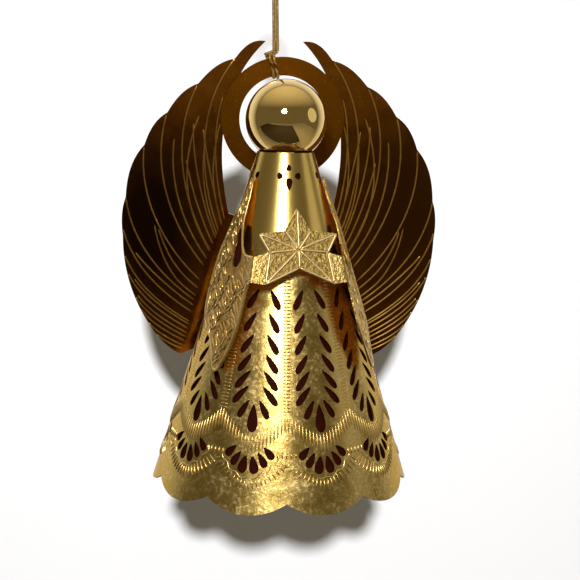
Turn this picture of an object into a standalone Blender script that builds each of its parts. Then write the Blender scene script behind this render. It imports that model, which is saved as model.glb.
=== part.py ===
"""Hanging angel ornament in etched sheet brass, with its cord."""
import math

import bpy
import numpy as np
from mathutils.geometry import delaunay_2d_cdt

# All sizes are in metres and all angles in degrees.

# Sheet and fits
SHEET = 0.0003
FIT_GAP = 0.0003

# Robe: a sheet rolled to a cone, lapped at the back
HEM_RADIUS = 0.0220
NECK_RADIUS = 0.0049
ROBE_HEIGHT = 0.0558
SECTORS = 10
SCALLOP_DEPTH = 0.0020
LAP_ANGLE = 5.0
LAP_RAMP = 5.0
FACET_ANGLE = 9.0

# Pierced fronds, one in every sector: a key drop, a pair beside it, then pairs of leaning drops above
KEY_DROP_HEIGHT = 0.0136
KEY_DROP_LENGTH = 0.0042
KEY_DROP_WIDTH = 0.0015
SIDE_DROP_HEIGHT = 0.01495
SIDE_DROP_SPREAD = 0.00165
SIDE_DROP_LENGTH = 0.0032
SIDE_DROP_LEAN = 31.0
FROND_PAIRS = 6
FROND_BASE = 0.01705
FROND_STEP = 0.0022
FROND_GROWTH = 0.00017
FROND_SPREAD = 0.00216
FROND_NARROWING = 0.00012
DROP_LENGTH = 0.0038
DROP_SHRINK = 0.00008
DROP_WIDTH = 0.00094
DROP_LEAN = 41.0
LEAN_STEP = 5.0
DROP_TAPER = 0.62

# Pierced fans below the fronds
FAN_HEIGHT = 0.01015
FAN_RADIUS = 0.0044
FAN_ANGLES = (12.0, 33.0, 50.0)
PETAL_LENGTH = 0.0027
PETAL_WIDTH = 0.0010

# Pierced flowers under the neck; each hole has a side, a rise and a stretch
FLOWERS = 5
FLOWER_TURN = 3.0
FLOWER_BELOW_NECK = 0.0038
FLOWER_REACH = 0.0014
FLOWER_LENGTH = 0.0013
FLOWER_WIDTH = 0.0007
FLOWER_HOLES = ((0.0, 1.0, 0.8), (0.0, -1.0, 1.5), (-1.0, 0.0, 0.9), (1.0, 0.0, 0.9))

# Head: a hollow ball with a hole at the bottom
HEAD_RADIUS = 0.0070
HEAD_WALL = 0.0004
HEAD_HOLE_RADIUS = 0.0016

# Wings: one flat sheet behind the robe
WING_TILT = 6.5
WING_TOUCH_HEIGHT = 0.0230
WING_TIP = (0.0033, 0.0753)
WING_EDGE_UPPER = (0.0188, 0.0665)
WING_EDGE_OUTER = (0.0369, 0.0559)
WING_EDGE_LOWER = (0.0308, 0.0251)
WING_END = (0.0194, 0.0171)
WING_FOOT = (0.0179, 0.0167)
WING_INNER_UPPER = (0.0116, 0.0674)
WING_INNER_LOWER = (0.0120, 0.0548)
WING_ARMPIT = (0.0095, 0.0439)
WEB_TOP = 0.0410
WEB_BOTTOM = 0.0245
NOTCHES = (0.0, 0.087, 0.195, 0.30, 0.40, 0.541, 0.64, 0.88, 1.0)
FULLNESS = (1.8, 0.9, 0.8, 0.8, 0.6, 0.4, 0.1, 0.1)
FEATHER_SWELL = 0.45
FEATHER_SKEW = 0.5

# Halo: a flat ring on the front of the wings
HALO_HEIGHT = 0.0615
HALO_RADIUS = 0.0111
HALO_BAND = 0.0033

# Arms: one bent sheet with the sleeves, the hands and the star
ARM_TURN = 8.0
STAR_HEIGHT = 0.0404
STAR_STANDOFF = 0.0026
STAR_BEARINGS = (0.0, 35.0, 68.0, 95.5, 134.5, 180.0)
STAR_REACHES = (0.0069, 0.0038, 0.0071, 0.0050, 0.0083, 0.0031)
WRIST_ANGLE = 31.0
SLEEVE_EASE = 14.0
SLEEVE_GAP = 0.00045

# Armhole cut in each sleeve
ARMHOLE_ANGLE = 56.0
ARMHOLE_HEIGHT = 0.0401
ARMHOLE_LENGTH = 0.0064
ARMHOLE_WIDTH = 0.0014
ARMHOLE_LEAN = 13.0

# Outline of a sleeve from the top of the hand round to its bottom, as (angle, height)
# The strap over the armhole goes up and down with it
HAND_TOP = (WRIST_ANGLE, 0.0392)
CUFF_TOP = (45.0, 0.0397)
STRAP_FOOT = (55.5, ARMHOLE_HEIGHT + 0.0041)
STRAP_FRONT = (60.5, ARMHOLE_HEIGHT + 0.0099)
STRAP_TOP = (67.0, ARMHOLE_HEIGHT + 0.0115)
STRAP_BACK = (76.0, ARMHOLE_HEIGHT + 0.0069)
SLEEVE_UPPER = (90.0, 0.0416)
SLEEVE_BACK = (103.0, 0.0370)
SLEEVE_CORNER = (84.0, 0.0288)
SLEEVE_NOTCH = (61.0, 0.0244)
SLEEVE_TIP = (49.5, 0.0200)
SLEEVE_FRONT = (38.0, 0.0262)
CUFF_BOTTOM = (34.0, 0.0338)
HAND_BOTTOM = (WRIST_ANGLE, 0.0352)

# Cord: a doubled strand hitched round the top of the halo
STRAND = 0.00064
STRAND_SPACING = 0.00070
CORD_SIDE = -0.00156
CORD_DROP = 0.0260
KNOT_RADIUS = 0.00066
EYE_WIDTH = 0.0052
EYE_HEIGHT = 0.0090
EYE_SHAPE = ((0.22, 0.22), (0.50, 0.58), (0.36, 0.87))
HITCH_TURNS = 2
HITCH_PITCH = 0.00070
HITCH_SLANT = 0.00045
HITCH_SHIFT = -0.00030

# How the ornament hangs at rest
HANG_TILT = 8.9
HANG_LEAN = 1.1

# Mesh fineness
ROUND_STEPS = 64
HEAD_STEPS = 28
SOFT_STEPS = 10
FEATHER_STEPS = 8
SLEEVE_STEPS = 3
CORD_STEPS = 5
HITCH_STEPS = 22
DROP_STEPS = 7
PETAL_STEPS = 8
FLOWER_STEPS = 6
ARMHOLE_STEPS = 12

COLLECTION = "etched_brass_angel_ornament"

for old in list(bpy.data.objects):
    bpy.data.objects.remove(old)
collection = bpy.data.collections.new(COLLECTION)
bpy.context.scene.collection.children.link(collection)

ROBE_SLOPE = (HEM_RADIUS - NECK_RADIUS) / ROBE_HEIGHT
ROBE_COSINE = math.cos(math.atan(ROBE_SLOPE))
SECTOR_ANGLE = 360.0 / SECTORS
LAP_STEP = SHEET + FIT_GAP


def material(name, colour, metallic, roughness):
    """Make one Principled material."""
    made = bpy.data.materials.new(name)
    made.use_nodes = True
    shader = made.node_tree.nodes["Principled BSDF"]
    shader.inputs["Base Color"].default_value = (*colour, 1.0)
    shader.inputs["Metallic"].default_value = metallic
    shader.inputs["Roughness"].default_value = roughness
    return made


def add(obj, look, parent=None, place=(0.0, 0.0, 0.0), turn=(0.0, 0.0, 0.0)):
    """Put an object into the collection with its material, parent and place."""
    collection.objects.link(obj)
    if look is not None:
        obj.data.materials.append(look)
    obj.parent = parent
    obj.location = place
    obj.rotation_euler = turn
    return obj


def surface(name, points, faces):
    """Make a smooth open surface from points and faces."""
    mesh = bpy.data.meshes.new(name)
    mesh.from_pydata([tuple(p) for p in points], [], [tuple(f) for f in faces])
    mesh.shade_smooth()
    return bpy.data.objects.new(name, mesh)


def solidify(obj, thickness):
    """Give an open surface its sheet thickness, inwards from the drawn face."""
    wall = obj.modifiers.new("sheet", "SOLIDIFY")
    wall.thickness = thickness
    wall.offset = -1.0
    return obj


def cut_sheet(outline, holes, creases):
    """Triangulate a flat outline with holes, keeping every crease line as an edge."""
    points = []
    edges = []
    faces = []
    for ring in [outline] + holes:
        first = len(points)
        points.extend(ring)
        count = len(ring)
        edges.extend((first + k, first + (k + 1) % count) for k in range(count))
        faces.append([first + k for k in range(count)])
    for start, end in creases:
        edges.append((len(points), len(points) + 1))
        points.extend([start, end])
    flat, _, cells, _, _, sources = delaunay_2d_cdt(points, edges, faces, 0, 1e-9)
    kept = [cell for cell, source in zip(cells, sources) if list(source) == [0]]
    used = sorted({index for cell in kept for index in cell})
    renumber = {old: new for new, old in enumerate(used)}
    plan = np.array([flat[index][:] for index in used])
    return plan, [[renumber[index] for index in cell] for cell in kept]


def drop(centre, length, width, lean, steps):
    """Outline of an egg-shaped drop, anticlockwise; its narrow end lies up the lean angle from vertical."""
    turn = -np.arange(steps) * 2.0 * math.pi / steps
    along = 0.5 * length * np.cos(turn)
    across = 0.5 * width * np.sin(turn) * (1.0 - DROP_TAPER * np.cos(turn))
    slant = math.radians(lean)
    side = centre[0] + across * math.cos(slant) + along * math.sin(slant)
    rise = centre[1] - across * math.sin(slant) + along * math.cos(slant)
    return np.stack([side, rise], axis=1)


def smooth_run(points, steps):
    """Points of a smooth curve that passes through every given point."""
    points = np.asarray(points, dtype=float)
    ends = np.vstack([2.0 * points[0] - points[1], points, 2.0 * points[-1] - points[-2]])
    a, b, c, d = (ends[k:len(ends) - 3 + k, None] for k in range(4))
    t = (np.arange(steps) / steps)[None, :, None]
    bend = (2.0 * a - 5.0 * b + 4.0 * c - d) * t ** 2 + (3.0 * b - a - 3.0 * c + d) * t ** 3
    run = b + 0.5 * ((c - a) * t + bend)
    return np.vstack([run.reshape(-1, points.shape[1]), points[-1:]])


def robe_radius(height):
    """Outer radius of the robe at a height above the hem."""
    return HEM_RADIUS - ROBE_SLOPE * height


# The pierced pattern is drawn per sector as (arc length, slant height) pairs
def frond_outlines():
    """Drops of one frond and petals of its fan, about the middle of a sector."""
    shapes = [drop((0.0, KEY_DROP_HEIGHT), KEY_DROP_LENGTH, KEY_DROP_WIDTH, 0.0, PETAL_STEPS)]
    pairs = [(SIDE_DROP_SPREAD, SIDE_DROP_HEIGHT, SIDE_DROP_LENGTH, SIDE_DROP_LEAN)]
    for row in range(FROND_PAIRS):
        height = FROND_BASE + row * FROND_STEP + row ** 2 * FROND_GROWTH
        spread = FROND_SPREAD - row * FROND_NARROWING
        pairs.append((spread, height, DROP_LENGTH - row * DROP_SHRINK, DROP_LEAN - row * LEAN_STEP))
    for spread, height, length, lean in pairs:
        for side in (-1.0, 1.0):
            shapes.append(drop((side * spread, height), length, DROP_WIDTH, -side * lean, DROP_STEPS))
    for angle in FAN_ANGLES:
        reach = math.radians(angle)
        for side in (-1.0, 1.0):
            centre = (side * FAN_RADIUS * math.sin(reach), FAN_HEIGHT - FAN_RADIUS * math.cos(reach))
            shapes.append(drop(centre, PETAL_LENGTH, PETAL_WIDTH, -side * angle, PETAL_STEPS))
    return shapes


def flower_outlines():
    """Four small holes round the middle of a neck flower."""
    shapes = []
    middle = ROBE_HEIGHT - FLOWER_BELOW_NECK
    for side, rise, stretch in FLOWER_HOLES:
        centre = (side * FLOWER_REACH, middle + rise * FLOWER_REACH)
        lean = -side * 90.0 if side else 90.0 * (1.0 - rise)
        shapes.append(drop(centre, FLOWER_LENGTH * stretch, FLOWER_WIDTH, lean, FLOWER_STEPS))
    return shapes


PLAN_RADIUS = 0.5 * (HEM_RADIUS + NECK_RADIUS)


def to_plan(shape, middle):
    """Turn arc lengths about a sector middle into the unrolled plan."""
    angle = np.radians(middle) + shape[:, 0] / robe_radius(shape[:, 1])
    return [tuple(pair) for pair in np.stack([angle * PLAN_RADIUS, shape[:, 1] / ROBE_COSINE], axis=1)]


def hem_height(angle):
    """Height of the scalloped hem: a parabola between every two cusps."""
    across = 2.0 * np.mod(np.asarray(angle) / SECTOR_ANGLE, 1.0) - 1.0
    return -SCALLOP_DEPTH * (1.0 - across ** 2)


def robe():
    """The rolled robe: pierced in the flat, then bent to a cone with a lapped seam."""
    end = 180.0 + LAP_ANGLE
    hem = list(np.arange(-180.0, 180.0, FACET_ANGLE / 2.0)) + [180.0, end]
    bends = list(np.arange(-180.0 + FACET_ANGLE, 180.0 - FACET_ANGLE / 2.0, FACET_ANGLE))
    bends += [180.0 - LAP_RAMP, 180.0 - LAP_RAMP / 2.0, 180.0]
    hem = sorted(set(hem + bends))
    tops = [-180.0] + bends + [end]
    plan_x = PLAN_RADIUS * math.pi / 180.0
    outline = [(a * plan_x, float(hem_height(a)) / ROBE_COSINE) for a in hem]
    outline += [(a * plan_x, ROBE_HEIGHT / ROBE_COSINE) for a in reversed(tops)]
    creases = [((a * plan_x, float(hem_height(a)) / ROBE_COSINE), (a * plan_x, ROBE_HEIGHT / ROBE_COSINE))
               for a in bends]
    holes = []
    for sector in range(SECTORS):
        middle = -180.0 + (sector + 0.5) * SECTOR_ANGLE
        holes += [to_plan(shape, middle) for shape in frond_outlines()]
    for flower in range(FLOWERS):
        middle = FLOWER_TURN + (flower - FLOWERS // 2) * 360.0 / FLOWERS
        holes += [to_plan(shape, middle) for shape in flower_outlines()]
    plan, faces = cut_sheet(outline, holes, creases)
    angle = plan[:, 0] / PLAN_RADIUS
    height = plan[:, 1] * ROBE_COSINE
    ramp = (np.degrees(angle) - (180.0 - LAP_RAMP)) / LAP_RAMP
    radius = robe_radius(height) + LAP_STEP * np.clip(ramp, 0.0, 1.0)
    points = np.stack([radius * np.sin(angle), -radius * np.cos(angle), height], axis=1)
    return solidify(surface("robe", points, faces), SHEET)


def bezier(start, first, second, end, steps):
    """Points along a cubic from start up to, but not at, its end."""
    t = (np.arange(steps) / steps)[:, None]
    ends = (1 - t) ** 3 * np.array(start) + t ** 3 * np.array(end)
    return ends + 3 * (1 - t) ** 2 * t * np.array(first) + 3 * (1 - t) * t ** 2 * np.array(second)


def wing_edge(share):
    """Points of the wing's outer edge, a quartic curve from the tip to the end."""
    guide = np.array([WING_TIP, WING_EDGE_UPPER, WING_EDGE_OUTER, WING_EDGE_LOWER, WING_END])
    order = len(guide) - 1
    weights = [math.comb(order, k) * share ** k * (1.0 - share) ** (order - k) for k in range(order + 1)]
    return np.stack(weights, axis=1) @ guide


def wing_half():
    """Outline of the right half of the wing sheet, from the top of the web to its bottom."""
    inner = bezier(WING_ARMPIT, WING_INNER_LOWER, WING_INNER_UPPER, WING_TIP, SOFT_STEPS)
    t = np.arange(FEATHER_STEPS) / FEATHER_STEPS
    feathers = []
    for first, last, fullness in zip(NOTCHES[:-1], NOTCHES[1:], FULLNESS):
        start, end = wing_edge(np.array([first, last]))
        out = np.array([start[1] - end[1], end[0] - start[0]])
        swell = fullness * FEATHER_SWELL * t * (1.0 - t) * (1.0 - FEATHER_SKEW * t)
        feathers.append(wing_edge(first + t * (last - first)) + swell[:, None] * out)
    web = [(0.0, WEB_TOP)]
    return np.vstack([web, inner] + feathers + [[WING_END, WING_FOOT, (0.0, WEB_BOTTOM)]])


def flat_sheet(name, rings):
    """A flat outline with holes as a filled curve, extruded to the sheet thickness."""
    curve = bpy.data.curves.new(name, "CURVE")
    curve.dimensions = "2D"
    curve.fill_mode = "BOTH"
    curve.extrude = SHEET / 2.0
    for ring in rings:
        spline = curve.splines.new("POLY")
        spline.points.add(len(ring) - 1)
        packed = np.zeros((len(ring), 4))
        packed[:, :2] = ring
        packed[:, 3] = 1.0
        spline.points.foreach_set("co", packed.ravel())
        spline.use_cyclic_u = True
    return bpy.data.objects.new(name, curve)


def circle(radius, middle):
    """Points of a circle in the plane of a flat sheet."""
    turn = np.arange(ROUND_STEPS) * 2.0 * math.pi / ROUND_STEPS
    return np.stack([radius * np.cos(turn), middle + radius * np.sin(turn)], axis=1)


def tube(name, points, diameter):
    """A round cord along a run of points."""
    curve = bpy.data.curves.new(name, "CURVE")
    curve.dimensions = "3D"
    curve.bevel_depth = diameter / 2.0
    curve.bevel_resolution = 2
    curve.use_fill_caps = True
    spline = curve.splines.new("POLY")
    spline.points.add(len(points) - 1)
    packed = np.ones((len(points), 4))
    packed[:, :3] = points
    spline.points.foreach_set("co", packed.ravel())
    return bpy.data.objects.new(name, curve)


def arm_standoff(angle, height):
    """Distance of the arm sheet from the robe: a flat front, then easing in behind the cuffs."""
    radius = robe_radius(height)
    wrist = np.minimum(np.abs(angle), WRIST_ANGLE)
    front = (radius + STAR_STANDOFF) / np.cos(np.radians(wrist)) - radius
    close = SHEET + SLEEVE_GAP
    past = np.maximum(np.abs(angle) - WRIST_ANGLE, 0.0)
    return close + (front - close) * np.exp(-past / SLEEVE_EASE)


def arm_half():
    """Right half outline of the arm sheet as (angle, height), from star top to star bottom."""
    bearing = np.radians(STAR_BEARINGS)
    reach = np.array(STAR_REACHES)
    side = reach * np.sin(bearing)
    height = STAR_HEIGHT + reach * np.cos(bearing) * ROBE_COSINE
    star = np.stack([np.degrees(np.arctan2(side, robe_radius(height) + STAR_STANDOFF)), height], axis=1)
    guide = [HAND_TOP, CUFF_TOP, STRAP_FOOT, STRAP_FRONT, STRAP_TOP, STRAP_BACK, SLEEVE_UPPER, SLEEVE_BACK,
             SLEEVE_CORNER, SLEEVE_NOTCH, SLEEVE_TIP, SLEEVE_FRONT, CUFF_BOTTOM, HAND_BOTTOM]
    return np.vstack([star[:4], smooth_run(guide, SLEEVE_STEPS), star[4:]])


def arms():
    """The arm sheet, drawn unrolled and bent round the front of the robe."""
    half = arm_half()
    whole = np.vstack([half, half[-2:0:-1] * (-1.0, 1.0)])[::-1]
    scale = math.radians(1.0) * (robe_radius(STAR_HEIGHT) + STAR_STANDOFF)
    fine = []
    for first, last in zip(whole, np.roll(whole, -1, axis=0)):
        pieces = max(1, int(round(abs(last[0] - first[0]) / FACET_ANGLE)))
        fine.extend(first + (last - first) * k / pieces for k in range(pieces))
    outline = [(a * scale, h) for a, h in fine]
    holes = []
    for side in (-1.0, 1.0):
        centre = (side * ARMHOLE_ANGLE * scale, ARMHOLE_HEIGHT)
        hole = drop(centre, ARMHOLE_LENGTH, ARMHOLE_WIDTH, side * ARMHOLE_LEAN, ARMHOLE_STEPS)
        holes.append([tuple(pair) for pair in hole])
    creases = []
    for bend in np.arange(WRIST_ANGLE, SLEEVE_BACK[0], FACET_ANGLE) * scale:
        for side in (-1.0, 1.0):
            creases.append(((side * bend, 0.0), (side * bend, ROBE_HEIGHT)))
    plan, faces = cut_sheet(outline, holes, creases)
    angle, height = plan[:, 0] / scale, plan[:, 1]
    radius = robe_radius(height) + arm_standoff(angle, height)
    turn = np.radians(angle)
    points = np.stack([radius * np.sin(turn), -radius * np.cos(turn), height], axis=1)
    return solidify(surface("arms_and_star", points, faces), SHEET)


def head():
    """Hollow ball: a sphere surface open at the bottom, thickened inwards."""
    lowest = math.asin(HEAD_HOLE_RADIUS / HEAD_RADIUS)
    rows = np.linspace(lowest, math.pi, HEAD_STEPS // 2)[:-1]
    turn = np.arange(HEAD_STEPS) * 2.0 * math.pi / HEAD_STEPS
    across, round_ = np.meshgrid(rows, turn, indexing="ij")
    ball = np.stack([np.sin(across) * np.cos(round_), np.sin(across) * np.sin(round_), -np.cos(across)], axis=2)
    points = np.vstack([ball.reshape(-1, 3), [[0.0, 0.0, 1.0]]]) * HEAD_RADIUS
    faces = []
    for row in range(len(rows) - 1):
        for k in range(HEAD_STEPS):
            here, beside = row * HEAD_STEPS + k, row * HEAD_STEPS + (k + 1) % HEAD_STEPS
            faces.append((here, beside, beside + HEAD_STEPS, here + HEAD_STEPS))
    last = (len(rows) - 1) * HEAD_STEPS
    faces += [(last + k, last + (k + 1) % HEAD_STEPS, len(points) - 1) for k in range(HEAD_STEPS)]
    return solidify(surface("head_ball", points, faces), HEAD_WALL)


robe_look = material("robe_brass", (0.80, 0.58, 0.22), 1.0, 0.28)
head_look = material("head_brass", (0.82, 0.60, 0.24), 1.0, 0.08)
wing_look = material("wing_brass", (0.42, 0.26, 0.08), 1.0, 0.18)
halo_look = material("halo_brass", (0.50, 0.32, 0.09), 1.0, 0.38)
arm_look = material("arm_brass", (0.78, 0.58, 0.24), 1.0, 0.40)
cord_look = material("cord_gold", (0.78, 0.58, 0.20), 0.6, 0.45)
knot_look = material("knot_gold", (0.74, 0.54, 0.18), 0.6, 0.45)
hitch_look = material("hitch_gold", (0.70, 0.50, 0.16), 0.6, 0.45)

# Where the sheets lie in the ornament's own frame, whose zero is the hem on the robe's axis
tilt = math.radians(WING_TILT)
touch_radius = robe_radius(WING_TOUCH_HEIGHT) + LAP_STEP + FIT_GAP + SHEET / 2.0
wing_y = touch_radius + WING_TOUCH_HEIGHT * math.tan(tilt)
halo_y = wing_y - (SHEET + FIT_GAP) / math.cos(tilt)
halo_top = HALO_HEIGHT + HALO_RADIUS
strand_reach = STRAND / 2.0 + FIT_GAP
pivot_rise = halo_top + 2.0 * strand_reach + KNOT_RADIUS
pivot_own = (CORD_SIDE, halo_y - pivot_rise * math.sin(tilt), pivot_rise * math.cos(tilt))

# The cord holds everything: its eye bears on the hook at the frame's zero
pivot = (0.0, 0.0, -CORD_DROP)
half = STRAND_SPACING / 2.0
foot = -CORD_DROP + KNOT_RADIUS + FIT_GAP
eye_low = STRAND / 2.0 - EYE_HEIGHT
rising = [(-half, foot), (-half, 0.5 * (foot + eye_low)), (-half, eye_low)]
rising += [(-wide * EYE_WIDTH, eye_low + tall * EYE_HEIGHT) for wide, tall in EYE_SHAPE]
falling = [(-x, z) for x, z in reversed(rising)]
route = smooth_run([(x, 0.0, z) for x, z in rising + [(0.0, STRAND / 2.0)] + falling], CORD_STEPS)
add(tube("cord_loop", route, STRAND), cord_look)

# Knot at the bend of the cord
bpy.ops.mesh.primitive_uv_sphere_add(segments=16, ring_count=10, radius=KNOT_RADIUS, location=pivot)
knot = bpy.context.object
knot.name = "cord_knot"
knot.data.name = "cord_knot"
knot.data.shade_smooth()
knot.data.materials.append(knot_look)
for holder in list(knot.users_collection):
    holder.objects.unlink(knot)
collection.objects.link(knot)

# The ornament hangs from the bend of the cord, leaning as its weight sets it
carrier = bpy.data.objects.new("angel_carrier", None)
add(carrier, None, None, pivot, (math.radians(HANG_TILT), math.radians(HANG_LEAN), 0.0))
own_zero = tuple(-value for value in pivot_own)


def own(x, y, z):
    """A place in the ornament's own frame, seen from the carrier."""
    return (x + own_zero[0], y + own_zero[1], z + own_zero[2])


add(robe(), robe_look, carrier, own_zero)
head_height = ROBE_HEIGHT + math.sqrt((HEAD_RADIUS + FIT_GAP) ** 2 - NECK_RADIUS ** 2)
add(head(), head_look, carrier, own(0.0, 0.0, head_height))
add(arms(), arm_look, carrier, own_zero, (0.0, 0.0, math.radians(ARM_TURN)))

upright = (math.radians(90.0) + tilt, 0.0, 0.0)
wing = wing_half()
mirrored = wing[-2:0:-1] * (-1.0, 1.0)
add(flat_sheet("wings", [np.vstack([wing, mirrored])]), wing_look, carrier, own(0.0, wing_y, 0.0), upright)
rings = [circle(HALO_RADIUS, HALO_HEIGHT), circle(HALO_RADIUS - HALO_BAND, HALO_HEIGHT)]
add(flat_sheet("halo", rings), halo_look, carrier, own(0.0, halo_y, 0.0), upright)

# Hitch: turns of the strand round the band of the halo, in the halo's plane
turns = np.linspace(0.25, HITCH_TURNS + 0.25, 1 + HITCH_STEPS * HITCH_TURNS)
swing = 2.0 * math.pi * turns
wide = np.sign(np.cos(swing)) * np.sqrt(np.abs(np.cos(swing)))
tall = np.sign(np.sin(swing)) * np.sqrt(np.abs(np.sin(swing)))
hitch = np.stack([
    CORD_SIDE + HITCH_SHIFT + HITCH_PITCH * (turns - np.mean(turns)) - HITCH_SLANT * tall,
    halo_top - HALO_BAND / 2.0 + (HALO_BAND / 2.0 + strand_reach) * tall,
    (SHEET / 2.0 + strand_reach) * wide,
], axis=1)
add(tube("cord_hitch", hitch, STRAND), hitch_look, carrier, own(0.0, halo_y, 0.0), upright)
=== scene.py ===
"""Etched brass angel ornament on its cord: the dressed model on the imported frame, and its studio."""

import math

import bpy
import numpy as np
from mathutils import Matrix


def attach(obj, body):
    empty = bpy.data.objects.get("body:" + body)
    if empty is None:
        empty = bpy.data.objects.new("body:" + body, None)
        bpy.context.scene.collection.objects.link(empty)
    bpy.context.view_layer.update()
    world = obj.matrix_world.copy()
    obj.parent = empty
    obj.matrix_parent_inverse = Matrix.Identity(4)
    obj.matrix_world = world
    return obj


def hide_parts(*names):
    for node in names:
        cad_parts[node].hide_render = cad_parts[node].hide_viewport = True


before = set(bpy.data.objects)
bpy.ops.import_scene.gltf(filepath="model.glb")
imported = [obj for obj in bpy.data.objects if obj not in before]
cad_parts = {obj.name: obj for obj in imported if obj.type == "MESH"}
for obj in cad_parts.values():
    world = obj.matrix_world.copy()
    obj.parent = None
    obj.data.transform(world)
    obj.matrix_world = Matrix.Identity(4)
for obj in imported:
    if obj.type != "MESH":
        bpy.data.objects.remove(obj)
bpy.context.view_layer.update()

# ROBE
# One sheet of brass, pierced and etched in the flat, then rolled to a cone with a lapped seam at the back.
# The upper part is polished; the lower part keeps the satin of the etch and a frosted, mottled bloom.
HEM_RADIUS = 0.0220
NECK_RADIUS = 0.0049
ROBE_HEIGHT = 0.0558
ROBE_SHEET = 0.0003
SECTORS = 10
SECTOR = 360.0 / SECTORS
SCALLOP_DEPTH = 0.0020
SCALLOP_TOP = 0.0040
LAP_ANGLE = 5.0
LAP_RAMP = 5.0
LAP_STEP = 0.0006
LAP_POINTS = 5
ROBE_SLOPE = (HEM_RADIUS - NECK_RADIUS) / ROBE_HEIGHT
PIVOT = np.array([0.0, 0.0, -0.0260])
PIVOT_OWN = np.array([-0.00156, 0.0095846, 0.0740211])
HANG_TILT = math.radians(8.9)
HANG_LEAN = math.radians(1.1)
# The key drop: height, length, width
KEY_DROP = (0.0131, 0.0045, 0.0016)
# The drops beside it: spread, height, length, lean
SIDE_DROP = (0.00165, 0.0146, 0.0037, 31.0)
# The rows of a frond: a first value, and how it changes from row to row
FROND_ROWS = 6
FROND_SPREAD = (0.0024, -0.00012)
FROND_RISE = (0.0168, 0.0022, 0.00017)
FROND_LENGTH = (0.0044, -0.00006)
FROND_LEAN = (42.0, -2.5)
DROP_WIDTH = 0.00098
FAN_HEIGHT = 0.01015
FAN_FOOT = 0.0044
# Petals on one side of a fan: reach, rise, length, width, lean
PETALS = ((0.00084, 0.0015, 0.0030, 0.0014, 13.0), (0.00218, 0.0023, 0.0028, 0.0011, 34.0),
          (0.00318, 0.0034, 0.0026, 0.0011, 45.0))
FLOWER_TURN = 3.0
FLOWER_HEIGHT = ROBE_HEIGHT - 0.0038
FLOWER_REACH = 0.0014
FLOWER_LENGTH = 0.0014
FLOWER_WIDTH = 0.0010
# Petals of a flower: across, up, stretch
FLOWER_PETALS = ((0.0, 1.0, 0.8), (0.0, -1.0, 1.5), (-1.0, 0.0, 0.9), (1.0, 0.0, 0.9))
# Grid columns of a sector: points across its pierced middle, half that middle in degrees, points beside it
SECTOR_GRID = (39, 13.2, 4)
# Bands of grid rows, close together where the robe is pierced: from, to, points
ROW_BANDS = ((0.0009, 0.0040, 5), (0.0040, 0.0096, 26), (0.0096, 0.0109, 3), (0.0109, 0.0364, 53),
             (0.0364, 0.0488, 7))
NECK_BAND = (0.0488, 17)
HEM_STEP = 0.0001
RIB_POINTS = 6
RIB_SINK = 0.00003


def hang(points):
    """Points of the ornament's own frame (zero at the hem, on the axis) as it hangs: turned round the pivot
    by the tilt about X, then by the lean about Y."""
    pitch = np.array([[1, 0, 0], [0, math.cos(HANG_TILT), -math.sin(HANG_TILT)],
                      [0, math.sin(HANG_TILT), math.cos(HANG_TILT)]])
    lean = np.array([[math.cos(HANG_LEAN), 0, math.sin(HANG_LEAN)], [0, 1, 0],
                     [-math.sin(HANG_LEAN), 0, math.cos(HANG_LEAN)]])
    return PIVOT + (np.asarray(points) - PIVOT_OWN) @ (lean @ pitch).T


def piece(name, points, faces, uv=None):
    """A smooth mesh from points, arrays of face corners and, if given, a UV pair for every point."""
    points = np.asarray(points, dtype=float).reshape(-1, 3)
    corners = np.concatenate([f.ravel() for f in faces])
    used, corners = np.unique(corners, return_inverse=True)
    counts = np.concatenate([np.full(len(f), f.shape[1]) for f in faces])
    mesh = bpy.data.meshes.new(name)
    mesh.vertices.add(len(used))
    mesh.vertices.foreach_set("co", points[used].ravel())
    mesh.loops.add(len(corners))
    mesh.loops.foreach_set("vertex_index", corners.astype(np.int32))
    mesh.polygons.add(len(counts))
    mesh.polygons.foreach_set("loop_start", (np.cumsum(counts) - counts).astype(np.int32))
    mesh.update(calc_edges=True)
    if uv is not None:
        layer = mesh.uv_layers.new(name="pattern")
        layer.data.foreach_set("uv", np.asarray(uv, dtype=float).reshape(-1, 2)[used][corners].ravel())
    mesh.shade_smooth()
    obj = bpy.data.objects.new(name, mesh)
    bpy.context.scene.collection.objects.link(obj)
    return obj


def grid_faces(rows, columns, closed=False):
    """Corners of the quads between rows and columns of points; closed joins the last column to the first."""
    number = np.arange(rows * columns).reshape(rows, columns)
    beside = np.roll(number, -1, axis=1)
    quads = np.stack([number[:-1], beside[:-1], beside[1:], number[1:]], axis=-1)
    return quads.reshape(-1, 4) if closed else quads[:, :-1].reshape(-1, 4)


def thicken(obj, thickness, offset=-1.0):
    """Give a sheet its thickness and keep its cut edges sharp."""
    uses = np.zeros(len(obj.data.loops), dtype=int)
    obj.data.loops.foreach_get("edge_index", uses)
    obj.data.edges.foreach_set("use_edge_sharp", np.bincount(uses, minlength=len(obj.data.edges)) == 1)
    wall = obj.modifiers.new("sheet", "SOLIDIFY")
    wall.thickness = thickness
    wall.offset = offset
    wall.use_even_offset = True


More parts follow.
